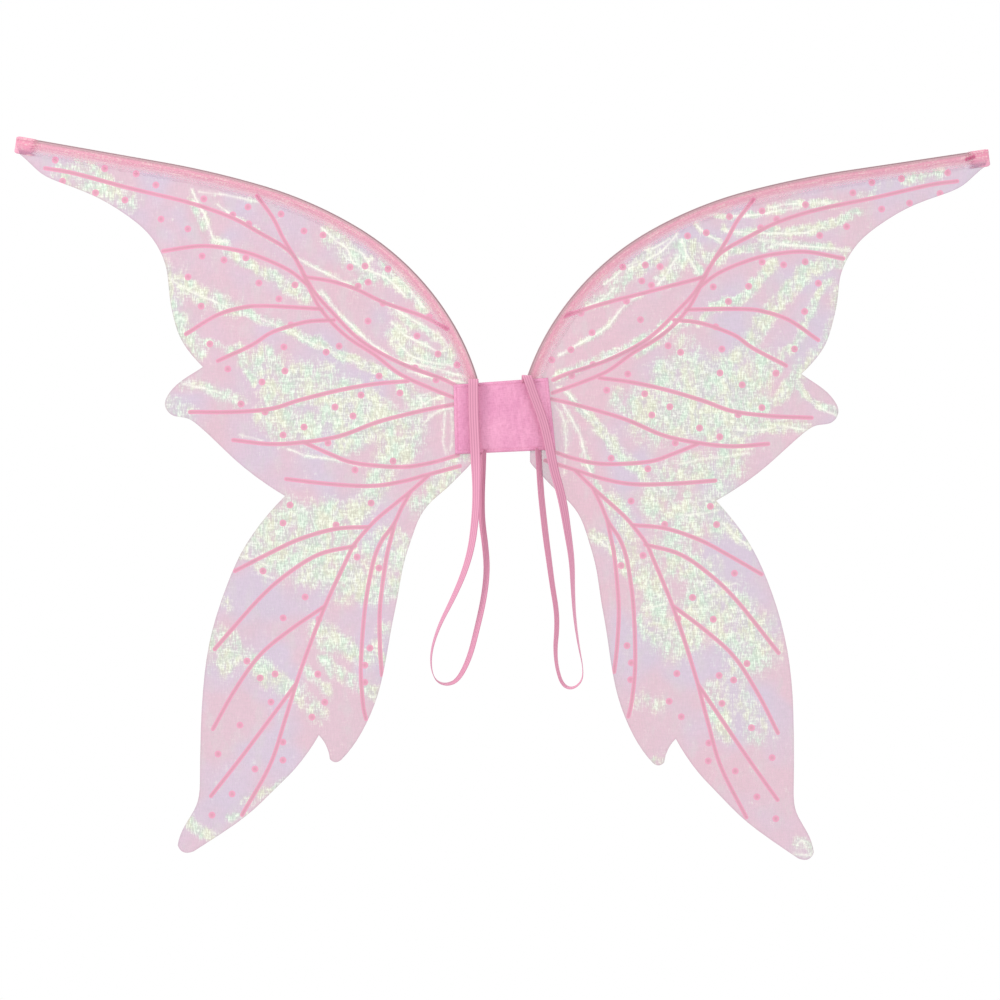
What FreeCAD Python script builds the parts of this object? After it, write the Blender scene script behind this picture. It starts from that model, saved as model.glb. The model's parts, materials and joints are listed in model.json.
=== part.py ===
"""Costume fairy wings: two printed organza wings on spring wires, joined by a padded back panel
with two elastic arm loops.

Frame: X across the wearer's back, Y from the wearer outwards, Z up. The origin is the middle of the
panel's wearer side face. All lengths are millimetres and all angles are degrees.
"""
import FreeCAD, Part
import math
import os

Vector = FreeCAD.Vector

# ---------------------------------------------------------------- back panel
PANEL_CORNERS = [(-48.5, 32.3), (46.1, 39.2), (53.7, -32.7), (-46.8, -37.3)]   # sewn a little askew
COVER_THICKNESS = 0.6
FELT_THICKNESS = 1.0
BOARD_THICKNESS = 3.0
FELT_INSET = 1.0
BOARD_HALF_HEIGHT = 29.0

FRONT_COVER_BACK = COVER_THICKNESS
FELT_BACK = FRONT_COVER_BACK + FELT_THICKNESS
BOARD_BACK = FELT_BACK + BOARD_THICKNESS
PANEL_BACK = BOARD_BACK + COVER_THICKNESS

# ---------------------------------------------------------------- fold lines
HINGE_U = 25.0                     # each wing folds about the upright leg of its wire
HINGE_TOP = 34.0                   # where the leg ends and the wire starts to lean outwards
HINGE_Y = (FELT_BACK + BOARD_BACK) / 2
FOLD_GAP = 3.0                     # covers stop this far either side of the fold line

# ---------------------------------------------------------------- wire, channel and hem
WIRE_RADIUS = 0.9
CHANNEL_BORE_RADIUS = 1.0
CHANNEL_RADIUS = 1.5
CASING_RADIUS = 1.35
CASING_SIDES = 8
HEM_WIDTH = 13.0
CAP_RADIUS = 1.2
ROOT_CAP_LENGTH = 2.4
ROOT_CAP_PLAY = 0.2                # gap between the cap and the channel's foot
TIP_CAP_LENGTH = 12.0
CAP_END_WALL = 0.9

# Leading edge as tangent arcs from the fold line outwards: (radius, turn).
LEAN_BEND = (10.0, 16.4)
LEADING_ARCS = [(243.0, 12.8), (275.0, 29.8), (407.5, 14.6), (923.0, 6.4)]
LEADING_STRAIGHT = 142.0
CASING_START = 1.0                 # turn of the first leading arc left bare above the panel

# ---------------------------------------------------------------- wing cloth
CLOTH_THICKNESS = 0.6
PATCH_LENGTH = 24.0
PATCH_THICKNESS = 0.3
LEFT_DROOP = 0.0
RIGHT_DROOP = 1.5                  # the right wing is sewn this much lower than the left

# Free edge of a wing from the tip round to the panel, as (outboard, up), one list per smooth edge.
# Each list starts where the one before it ends, and the corners between them are sharp.
UPPER_OUTER_EDGE = [(470, 256), (456, 243), (430, 231), (400, 218), (372, 200), (354, 184), (342, 166),
                    (335, 146), (333, 125), (329, 102), (322, 80), (311, 63), (299, 50)]
SIDE_LOBE_EDGE = [(299, 50), (318, 38), (332, 25), (337, 12), (330, 2), (316, -1), (303, -9), (268, -42),
                  (236, -67), (217, -79)]
LOWER_OUTER_EDGE = [(217, -79), (237, -101), (259, -133), (276, -171), (289, -212), (297, -255),
                    (301, -310), (302, -360), (305, -387), (315, -405), (324, -428)]
LOWER_TIP_EDGE = [(324, -428), (320, -434), (308, -434)]
LOWER_INNER_EDGE = [(308, -434), (286, -420), (250, -394), (226, -371), (209, -354), (196, -338),
                    (183, -318)]
SMALL_TAIL_OUTER_EDGE = [(183, -318), (176, -328), (172, -342)]
SMALL_TAIL_TIP_EDGE = [(172, -342), (167, -345), (161, -343)]
ROOT_EDGE = [(161, -343), (152, -333), (137, -309), (124, -277), (116, -242), (110, -208), (104, -178),
             (99, -150), (90, -120), (81, -98), (69, -83), (55, -71), (43, -59), (34, -50), (24, -34)]

# ---------------------------------------------------------------- elastic arm loops
# A loop is elastic 10 wide and 0.7 thick, drawn as a round tube of the same section area.
STRAP_TUBE_RADIUS = 1.5
LEFT_STRAP_ROUTE = [
    (-27, -0.4, 30.7), (-27, -0.4, 37.5), (-27, -7.2, 37.5), (-27.2, -6.6, 24.5), (-26.5, -5.4, 1),
    (-26, -5.5, -39), (-25, -6.5, -81), (-31, -7, -123), (-44, -8, -167), (-63, -9, -208),
    (-73, -9, -240), (-70, -8, -265), (-51, -6, -272), (-36, -4, -256), (-24, -2, -216),
    (-16, -1, -173), (-15, 0, -137), (-23, 0.6, -98), (-20, 1, -65), (-19.5, 0.8, -33),
]
RIGHT_STRAP_ROUTE = [
    (24, -0.4, 34.4), (24, -0.4, 41.2), (25, -7.2, 41.2), (28.6, -6.6, 28), (38, -5.8, 4),
    (48, -5.5, -37), (61, -6.5, -86), (68, -7, -136), (71, -8, -184), (72, -9, -220),
    (84, -9, -248), (80, -8, -272), (62, -6, -271), (52, -4, -246), (56, -2, -208),
    (49, -1, -164), (46, 0, -130), (40, 0.6, -92), (37, 1, -61), (36, 0.8, -31),
]


def heading_vector(heading):
    """Unit vector for a heading measured clockwise from straight up."""
    angle = math.radians(heading)
    return Vector(math.sin(angle), 0, math.cos(angle))


def inward_vector(heading):
    """Unit vector to the right of a heading, towards the cloth."""
    return heading_vector(heading + 90)


def walk_arcs(start, heading, steps):
    """Follow tangent arcs clockwise; gives a list of (centre, radius, first heading, last heading)."""
    spans = []
    point = start
    for radius, turn in steps:
        centre = point + inward_vector(heading) * radius
        spans.append((centre, radius, heading, heading + turn))
        heading = heading + turn
        point = centre - inward_vector(heading) * radius
    return spans, point, heading


def arc_point(span, heading, inset):
    """Point of an arc span at a heading, moved towards its centre by inset."""
    centre, radius, _, _ = span
    return centre - inward_vector(heading) * (radius - inset)


def sweep_spans(section, spans, end_lines):
    """Sweep a cross-section along arc spans and then along straight lines.

    section(point, heading) makes the flat face; end_lines is a list of (point, heading, length).
    """
    solids = []
    for span in spans:
        centre, _, first, last = span
        face = section(arc_point(span, first, 0), first)
        solids.append(face.revolve(centre, Vector(0, 1, 0), last - first))
    for point, heading, length in end_lines:
        face = section(point, heading)
        solids.append(face.extrude(heading_vector(heading) * length))
    return join(solids)


def join(solids):
    """Fuse solids that meet end to end into one."""
    result = solids[0]
    if len(solids) > 1:
        result = result.fuse(solids[1:])
    return result.Solids[0]


def disc(radius):
    """Cross-section maker: a disc square to the heading."""
    def section(point, heading):
        circle = Part.Circle(point, heading_vector(heading), radius)
        return Part.Face(Part.Wire(circle.toShape()))
    return section


def strip(near, far, thickness):
    """Cross-section maker: a flat band from near to far inwards of the line."""
    def section(point, heading):
        inward = inward_vector(heading)
        half = Vector(0, thickness / 2, 0)
        corners = [point + inward * near - half, point + inward * far - half,
                   point + inward * far + half, point + inward * near + half]
        return Part.Face(Part.makePolygon(corners + corners[:1]))
    return section


def casing_section(point, heading):
    """Hem folded round the wire: a faceted roll with the doubled band of cloth below it."""
    inward = inward_vector(heading)
    half_facet = math.pi / CASING_SIDES
    corners = []
    for side in range(CASING_SIDES):
        angle = (2 * side + 1) * half_facet
        corners.append(point + inward * (CASING_RADIUS * math.cos(angle))
                       + Vector(0, CASING_RADIUS * math.sin(angle), 0))
    roll = Part.Face(Part.makePolygon(corners + corners[:1]))
    band = strip(0, HEM_WIDTH, CLOTH_THICKNESS)(point, heading)
    bore = disc(WIRE_RADIUS)(point, heading)
    return roll.fuse(band).removeSplitter().cut(bore).Faces[0]


def prism(points, front, back):
    """Closed outline in the XZ plane, made solid between two Y values."""
    corners = [Vector(x, front, z) for x, z in points]
    face = Part.Face(Part.makePolygon(corners + corners[:1]))
    return face.extrude(Vector(0, back - front, 0))


def block(low, high):
    """Box between two corners."""
    size = [b - a for a, b in zip(low, high)]
    return Part.makeBox(size[0], size[1], size[2], Vector(*low))


def panel_slice(left, right, front, back):
    """The panel's outline between two X values, made solid between two Y values."""
    whole = prism(PANEL_CORNERS, front, back)
    return whole.common(block((left, front - 1, -60), (right, back + 1, 60))).Solids[0]


def make_felt():
    """Felt filling, cut a little smaller than the covers."""
    inset = []
    for x, z in PANEL_CORNERS:
        inset.append((x - math.copysign(FELT_INSET, x), z - math.copysign(FELT_INSET, z)))
    return prism(inset, FRONT_COVER_BACK, FELT_BACK)


def make_board():
    """Stiffening board between the two wire channels."""
    half_width = HINGE_U - CHANNEL_RADIUS
    return block((-half_width, FELT_BACK, -BOARD_HALF_HEIGHT), (half_width, BOARD_BACK, BOARD_HALF_HEIGHT))


def make_channel(side):
    """Plastic tube beside the board that the wire's leg turns in."""
    foot = Vector(side * HINGE_U, HINGE_Y, -BOARD_HALF_HEIGHT)
    height = 2 * BOARD_HALF_HEIGHT
    tube = Part.makeCylinder(CHANNEL_RADIUS, height, foot)
    return tube.cut(Part.makeCylinder(CHANNEL_BORE_RADIUS, height, foot)).Solids[0]


def strap_solid(name, route):
    """Round tube of straight runs joined by tangent arcs, with its length and bend radii printed."""
    points = [Vector(*p) for p in route]
    pieces = []
    radii = []
    start = points[0]
    length = 0.0
    for before, corner, after in zip(points, points[1:], points[2:]):
        into = (corner - before).normalize()
        out = (after - corner).normalize()
        half_turn = into.getAngle(out) / 2
        shorter = min((corner - before).Length, (after - corner).Length)
        cut_back = 0.45 * shorter
        radius = cut_back / math.tan(half_turn)
        radii.append(round(radius, 1))
        arc_start = corner - into * cut_back
        arc_end = corner + out * cut_back
        to_centre = (out - into).normalize()
        middle = corner + to_centre * (radius / math.cos(half_turn) - radius)
        pieces.append(Part.makeLine(start, arc_start))
        pieces.append(Part.Arc(arc_start, middle, arc_end).toShape())
        length += (arc_start - start).Length + radius * 2 * half_turn
        start = arc_end
    pieces.append(Part.makeLine(start, points[-1]))
    length += (points[-1] - start).Length
    spine = Part.Wire(pieces)
    first_direction = (points[1] - points[0]).normalize()
    circle = Part.Circle(points[0], first_direction, STRAP_TUBE_RADIUS)
    tube = spine.makePipeShell([Part.Wire(circle.toShape())], True, True)
    expected = math.pi * STRAP_TUBE_RADIUS ** 2 * length
    print(name, "length", round(length, 1), "volume ratio", round(tube.Volume / expected, 4), "radii", radii)
    return tube.Solids[0]


def smooth_edge(points):
    """Spline edge through points."""
    curve = Part.BSplineCurve()
    curve.interpolate(points)
    return curve.toShape()


def make_wing(droop):
    """Pieces of one wing, outboard along +X, as a dictionary of solids."""
    hinge_top = Vector(HINGE_U, HINGE_Y, HINGE_TOP)
    elbow = [(LEAN_BEND[0], droop)] if droop else []
    bare_arc = (LEADING_ARCS[0][0], CASING_START)
    first_arc = (LEADING_ARCS[0][0], LEADING_ARCS[0][1] - CASING_START)
    droop_spans, origin, heading = walk_arcs(hinge_top, 0, elbow)
    lean_spans, point, heading = walk_arcs(origin, heading, [LEAN_BEND, bare_arc])
    hem_spans, arc_end, heading = walk_arcs(point, heading, [first_arc] + LEADING_ARCS[1:])
    tip = arc_end + heading_vector(heading) * LEADING_STRAIGHT
    cap_start = tip - heading_vector(heading) * TIP_CAP_LENGTH

    def place(u, z):
        """Pattern coordinates to the wing as sewn, turned about the top of the leg."""
        offset = heading_vector(droop) * (z - HINGE_TOP) + inward_vector(droop) * (u - HINGE_U)
        return origin + offset

    wing = {}

    leg_foot = -BOARD_HALF_HEIGHT - ROOT_CAP_LENGTH + CAP_END_WALL
    leg = (Vector(HINGE_U, HINGE_Y, leg_foot), 0, HINGE_TOP - leg_foot)
    outer_run = (arc_end, heading, LEADING_STRAIGHT - CAP_END_WALL)
    wire_spans = droop_spans + lean_spans + hem_spans
    wing["frame_wire"] = sweep_spans(disc(WIRE_RADIUS), wire_spans, [leg, outer_run])

    root_cap_foot = Vector(HINGE_U, HINGE_Y, -BOARD_HALF_HEIGHT - ROOT_CAP_LENGTH)
    root_cap = Part.makeCylinder(CAP_RADIUS, ROOT_CAP_LENGTH - ROOT_CAP_PLAY, root_cap_foot)
    root_bore = Part.makeCylinder(WIRE_RADIUS, ROOT_CAP_LENGTH, root_cap_foot + Vector(0, 0, CAP_END_WALL))
    wing["wire_root_cap"] = root_cap.cut(root_bore).Solids[0]

    along_tip = heading_vector(heading)
    tip_cap = Part.makeCylinder(CASING_RADIUS, TIP_CAP_LENGTH, cap_start, along_tip)
    tip_bore = Part.makeCylinder(WIRE_RADIUS, TIP_CAP_LENGTH - CAP_END_WALL, cap_start, along_tip)
    wing["wire_tip_cap"] = tip_cap.cut(tip_bore).Solids[0]

    casing_run = (arc_end, heading, LEADING_STRAIGHT - TIP_CAP_LENGTH)
    casing = sweep_spans(casing_section, hem_spans, [casing_run])
    tip_band_face = strip(CASING_RADIUS, HEM_WIDTH, CLOTH_THICKNESS)(cap_start, heading)
    tip_band = tip_band_face.extrude(heading_vector(heading) * TIP_CAP_LENGTH)
    wing["edge_casing"] = join([casing, tip_band])

    inner_start = arc_point(hem_spans[0], hem_spans[0][2], HEM_WIDTH)
    behind_hinge = inner_start - inward_vector(hem_spans[0][2]) * (HEM_WIDTH + FOLD_GAP)
    edges = [Part.makeLine(behind_hinge, inner_start)]
    for span in hem_spans:
        first, last = span[2], span[3]
        ends_and_middle = [arc_point(span, turn, HEM_WIDTH) for turn in (first, (first + last) / 2, last)]
        edges.append(Part.Arc(*ends_and_middle).toShape())
    inner_arc_end = arc_end + inward_vector(heading) * HEM_WIDTH
    inner_tip = tip + inward_vector(heading) * HEM_WIDTH
    edges.append(Part.makeLine(inner_arc_end, inner_tip))
    upper = [inner_tip] + [place(u, z) for u, z in UPPER_OUTER_EDGE]
    edges.append(smooth_edge(upper))
    for outline in (SIDE_LOBE_EDGE, LOWER_OUTER_EDGE, LOWER_TIP_EDGE, LOWER_INNER_EDGE, SMALL_TAIL_OUTER_EDGE,
                    SMALL_TAIL_TIP_EDGE, ROOT_EDGE):
        edges.append(smooth_edge([place(u, z) for u, z in outline]))
    edges.append(Part.makeLine(place(*ROOT_EDGE[-1]), behind_hinge))
    outline_wire = Part.Wire(edges)
    outline_wire.translate(Vector(0, -CLOTH_THICKNESS / 2, 0))
    sheet = Part.Face(outline_wire).extrude(Vector(0, CLOTH_THICKNESS, 0))
    beyond_fold = block((HINGE_U + FOLD_GAP, -10, -600), (600, 20, 600))
    wing["membrane"] = sheet.common(beyond_fold).Solids[0]

    patch_start = tip - heading_vector(heading) * PATCH_LENGTH
    patch_face = strip(CASING_RADIUS, HEM_WIDTH, PATCH_THICKNESS)(patch_start, heading)
    patch_face.translate(Vector(0, -(CLOTH_THICKNESS + PATCH_THICKNESS) / 2, 0))
    wing["tip_patch"] = patch_face.extrude(heading_vector(heading) * PATCH_LENGTH)
    return wing


def make_flap(side):
    """Back cover's side part with its filling, sewn to one wing's cloth."""
    near = side * (HINGE_U + FOLD_GAP)
    far = side * 60.0
    front = HINGE_Y + CLOTH_THICKNESS / 2
    return panel_slice(min(near, far), max(near, far), front, PANEL_BACK)


def build():
    """Every sub-part by node name."""
    back_half = HINGE_U - FOLD_GAP
    nodes = {
        "front_cover": prism(PANEL_CORNERS, 0, FRONT_COVER_BACK),
        "felt_pad": make_felt(),
        "stiffener_board": make_board(),
        "back_cover": panel_slice(-back_half, back_half, BOARD_BACK, PANEL_BACK),
        "left_strap": strap_solid("left strap", LEFT_STRAP_ROUTE),
        "right_strap": strap_solid("right strap", RIGHT_STRAP_ROUTE),
    }
    for name, side, droop in (("left", -1, LEFT_DROOP), ("right", 1, RIGHT_DROOP)):
        nodes[name + "_pivot_channel"] = make_channel(side)
        nodes[name + "_back_flap"] = make_flap(side)
        for piece, solid in make_wing(droop).items():
            if side < 0:
                solid = solid.mirror(Vector(0, 0, 0), Vector(1, 0, 0))
            nodes[name + "_" + piece] = solid
    return nodes


os.makedirs("parts", exist_ok=True)
for node, shape in build().items():
    print(node, shape.ShapeType, shape.isValid(), "volume", round(shape.Volume, 1))
    shape.exportStep("parts/" + node + ".step")
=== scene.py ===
import json
import math

import bpy
import numpy as np
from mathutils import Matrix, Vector, noise
from mathutils.geometry import delaunay_2d_cdt


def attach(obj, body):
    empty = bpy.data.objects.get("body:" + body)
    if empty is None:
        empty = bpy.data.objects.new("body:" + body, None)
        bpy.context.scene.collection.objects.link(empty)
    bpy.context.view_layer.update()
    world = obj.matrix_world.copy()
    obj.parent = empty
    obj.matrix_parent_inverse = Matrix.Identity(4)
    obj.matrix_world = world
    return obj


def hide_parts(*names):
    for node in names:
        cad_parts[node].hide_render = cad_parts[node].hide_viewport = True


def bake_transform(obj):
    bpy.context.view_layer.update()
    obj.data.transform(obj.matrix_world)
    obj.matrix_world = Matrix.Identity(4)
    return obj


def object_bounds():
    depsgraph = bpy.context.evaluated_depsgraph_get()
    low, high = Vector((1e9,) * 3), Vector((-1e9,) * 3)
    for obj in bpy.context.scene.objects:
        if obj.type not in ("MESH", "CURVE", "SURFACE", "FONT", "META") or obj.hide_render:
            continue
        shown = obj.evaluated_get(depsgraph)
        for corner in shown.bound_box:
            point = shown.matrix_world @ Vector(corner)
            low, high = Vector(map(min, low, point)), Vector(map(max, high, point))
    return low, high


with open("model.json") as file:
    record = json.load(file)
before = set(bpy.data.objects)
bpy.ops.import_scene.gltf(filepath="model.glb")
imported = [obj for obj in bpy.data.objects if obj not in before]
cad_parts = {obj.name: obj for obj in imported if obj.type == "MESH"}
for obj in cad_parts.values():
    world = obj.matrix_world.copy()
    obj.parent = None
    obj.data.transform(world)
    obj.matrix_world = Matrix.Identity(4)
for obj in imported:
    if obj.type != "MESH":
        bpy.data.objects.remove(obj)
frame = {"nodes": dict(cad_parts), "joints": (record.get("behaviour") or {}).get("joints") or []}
cad_low, cad_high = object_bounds()
scene = bpy.context.scene

MM = 0.001
JOINTS = {joint["name"]: joint for joint in frame["joints"]}
HINGE_U = abs(JOINTS["right_wing_fold"]["pos_m"][0]) / MM
HINGE_Y = JOINTS["right_wing_fold"]["pos_m"][1] / MM
HINGE_TOP = 34.0
SIDES = {"left": -1, "right": 1}
WINGS_MIDDLE = Vector((0, 0, -0.05))
FLOOR_DROP = 0.42                       # how far the floor lies below the object, in m
SEED_STEP = 7.31                        # keeps the noises of different seeds apart
FAR = 1e6                               # a distance beyond any that is looked for

# --- arm loops: metres, and routes in mm
STRAP_WIDTH = 0.010
STRAP_THICKNESS = 0.0008
STRAP_RIBS = 4
STRAP_STEP = 0.0012
TWIST_REACH = 20                        # the turning is smoothed over so many steps each way
STRAP_ROUTES = {
    "left": [
        (-28.5, -0.4, 30.7), (-28.5, -0.4, 37.5), (-28.5, -7.2, 37.5), (-28.5, -6.6, 24.5), (-28.2, -5.8, 1),
        (-26.5, -6.2, -34), (-25.2, -7, -75), (-26.8, -7, -103), (-30.5, -7, -131), (-37.8, -8, -156),
        (-49.2, -9, -182), (-62.2, -9, -207), (-70.2, -9, -231), (-71, -8.5, -250), (-66, -8, -263.5),
        (-55, -6.5, -267.5), (-43.5, -5, -262.5), (-32.5, -3.5, -241), (-25, -1.5, -212), (-18, 0, -181),
        (-14.8, 1, -153), (-16.8, 1.5, -128), (-20.3, 1.5, -103), (-20.6, 1.5, -78), (-19.6, 1.2, -53),
        (-19, 0.8, -33),
    ],
    "right": [
        (24.5, -0.4, 34.4), (24.5, -0.4, 41.2), (25, -7.2, 41.2), (30.8, -6.6, 24), (38.6, -5.8, 3.5),
        (43.4, -5.5, -12), (48, -5.8, -34), (51.8, -6, -53), (57.4, -6.4, -72), (61.6, -6.8, -90.5),
        (65.5, -7, -115.5), (69.7, -7.2, -143.6), (70.5, -7.8, -171.8), (72.2, -8.5, -200), (76.2, -9, -228),
        (80.8, -9, -250), (79.8, -8.5, -263.5), (70, -7.2, -271.5), (60, -5.8, -267.5), (54.5, -4.5, -250),
        (53, -3.5, -231), (54.8, -2.2, -212.4), (54.5, -1.2, -193.6), (50.3, -0.4, -168.6), (47, 0, -143.6),
        (44, 0.4, -121.8), (41.1, 0.8, -96.8), (38.2, 1, -68.6), (36.2, 0.8, -31),
    ],
}
# How far the flat band has turned about its own line: (share of its length, degrees).
STRAP_TWISTS = {
    "left": [(0, 0), (0.14, 0), (0.19, 36), (0.28, 44), (0.36, 54), (0.43, 66), (0.48, 76), (0.53, 82),
             (0.56, 88), (0.59, 98), (0.63, 104), (0.72, 108), (0.85, 112), (1, 116)],
    "right": [(0, 0), (0.16, 0), (0.2, -6), (0.25, -10), (0.33, -30), (0.41, -46), (0.5, -60), (0.54, -70),
             (0.59, -66), (0.63, -66), (0.67, -76), (0.76, -78), (0.84, -85), (1, -86)],
}

# --- leading edge and hem, in mm
# The leading edge is a row of tangent arcs from the fold line outwards, (radius, turn in degrees),
# with a straight end.
LEAN_BEND = (10.0, 16.4)
LEADING_ARCS = [(243.0, 12.8), (275.0, 29.8), (407.5, 14.6), (923.0, 6.4)]
LEADING_STRAIGHT = 142.0
DROOP = {"left": 0.0, "right": 1.5}     # degrees that each wing is set down by, about its wire's leg
TIP_STRETCH = {"left": 5.5, "right": 0.0}     # how far each tip is pulled out along its wire
TIP_RANGE = (330, 475)                  # the pull grows over this range of distance from the middle
TIP_DIRECTION = (0.985, 0.17)
HEM_WIDTH = 15.0
HEM_ROLL = 1.6
HEM_BAND = 0.45
HEM_TUCK = 3.0                          # length of hem that goes down behind the panel's cover
HEM_COVERS = 13.0                       # the hem hides the cloth this far in from the wire
HEM_STEP = 1.3                          # the wire line is followed in steps of this length
HEM_STITCH_PITCH = 4.2
HEM_STITCH_INSET = 12.0
HEM_SEED = {"left": 2, "right": 6}
PATCH_LENGTH = 25.0
STITCH_SIDES = 6
BARTACK_STITCHES = 13

# --- cloth, in mm
CLOTH_START = 28.0                      # the cloth begins this far from the row's middle
CLOTH_CUT = 13.9                        # outline places nearer the wire than this lie along the hem
CLOTH_UNDER_HEM = 8.5                   # how far the cloth is carried on under the hem
GRID_STEP = 1.75
GRID_SEED = {"left": 71, "right": 72}
NARROW_BAND = 8                         # crinkled bands up to this half width also stand out

# --- panel, in mm
PANEL_WIDTH = 98
PANEL_HEIGHT = 73
SEAM_INSET = 3.2
SEAM_PITCH = 3.4
# Soft upright creases: (x of its middle, lean, depth, width).
PANEL_CREASES = ((8, 0.10, 0.55, 2.6), (15, 0.16, 0.7, 2.2), (22, 0.22, 0.5, 2.8), (-12, -0.05, 0.3, 4.0),
                 (33, 0.25, 0.35, 2.4))

# --- print: pattern places (outboard, up) in mm
VEIN_WIDTH = 4.3
DOT_RADIUS = 3.5
# The right wing's cloth is sewn in a little askew: how its print moves on x and on z, as a start and
# its growth with x and with z.
PRINT_SHIFT = {"left": ((0, 0, 0), (0, 0, 0)), "right": ((4.8, -0.0205, 0.0098), (6.4, -0.0148, -0.0023))}
VEINS = {
    "tip": [(452, 248), (424, 243), (372, 229), (312, 214), (272, 200), (244, 185), (212, 165), (197, 140)],
    "outer_fork": [(339, 166), (302, 171), (272, 168), (245, 161), (212, 146), (190, 128)],
    "side_a": [(316, 83), (287, 101), (262, 109), (237, 111), (180, 108)],
    "side_b": [(284, 56), (250, 72), (229, 85), (196, 95), (168, 97)],
    "cross": [(197, 140), (172, 136), (146, 128), (119, 115), (80, 101), (55, 88)],
    "from_hem": [(245, 221), (229, 199), (219, 179), (207, 159), (197, 140)],
    "stem_upper": [(202, 151), (189, 127), (172, 107), (142, 77), (102, 54), (62, 39), (47, 32)],
    "stem_lower": [(200, 145), (182, 109), (157, 82), (127, 62), (102, 43), (72, 29), (47, 19)],
    "mid_a": [(312, 5), (272, 5), (232, 8), (202, 17), (162, 27), (127, 33), (94, 36)],
    "mid_b": [(269, -23), (232, -27), (197, -25), (162, -19), (127, -6), (102, 1), (72, 8), (46, 13)],
    "mid_branch": [(199, -25), (172, -37), (147, -46), (102, -50), (72, -46), (44, -38)],
    "low_a": [(216, -62), (172, -67), (132, -69), (102, -65), (72, -57), (42, -49)],
    "low_stem": [(73, -58), (91, -74), (107, -87), (123, -100), (134, -111), (148, -128), (157, -146),
        (177, -189), (194, -233), (206, -267)],
    "low_1": [(134, -110), (167, -112), (202, -122), (232, -136), (267, -154)],
    "low_2": [(147, -129), (182, -137), (212, -155), (242, -181), (287, -232)],
    "low_3": [(177, -189), (212, -213), (242, -238), (267, -273), (289, -312)],
    "low_4": [(206, -267), (232, -302), (262, -342), (291, -379)],
    "low_5": [(206, -267), (217, -303), (232, -348), (260, -398)],
    "inner_1": [(91, -74), (100, -90), (107, -105), (113, -114), (121, -125), (129, -146), (137, -191),
        (141, -248), (139, -286), (136, -302)],
    "inner_2": [(107, -105), (111, -121), (116, -143), (122, -191), (122, -229), (120, -258)],
}
RIGHT_VEINS = {"cross": [(199, 142), (170, 133), (133, 122), (94, 110), (66, 100), (48, 94)]}
DOTS = [
    (442, 256), (395, 248), (365, 243), (435, 235), (404, 224), (376, 217), (346, 232), (298, 218), (254, 210),
    (269, 202), (253, 193), (341, 198), (314, 188), (300, 161), (278, 157), (256, 159), (314, 140), (301, 111),
    (243, 134), (221, 203), (198, 186), (179, 182), (223, 118), (207, 132), (152, 150), (137, 151), (114, 148),
    (144, 131), (134, 135), (119, 114), (73, 100), (134, 96), (85, 81), (64, 63), (45, 52), (218, 70),
    (211, 92), (176, 65), (163, 71), (123, 41), (217, 46), (240, 35), (87, 49), (66, 37), (292, 73), (274, 48),
    (261, 13), (237, 5), (141, 22), (167, 10), (149, 1), (198, -10), (219, -18), (102, 24), (174, -26),
    (147, -53), (109, -44), (212, -88), (131, -86), (219, -106), (166, -108), (145, -140), (239, -154),
    (123, -151), (197, -180), (219, -201), (183, -202), (255, -244), (227, -257), (242, -261), (184, -257),
    (132, -231), (137, -248), (137, -265), (231, -285), (177, -285), (190, -300), (262, -308), (219, -325),
    (219, -343), (284, -337), (247, -352), (270, -377), (290, -398),
]

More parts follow.
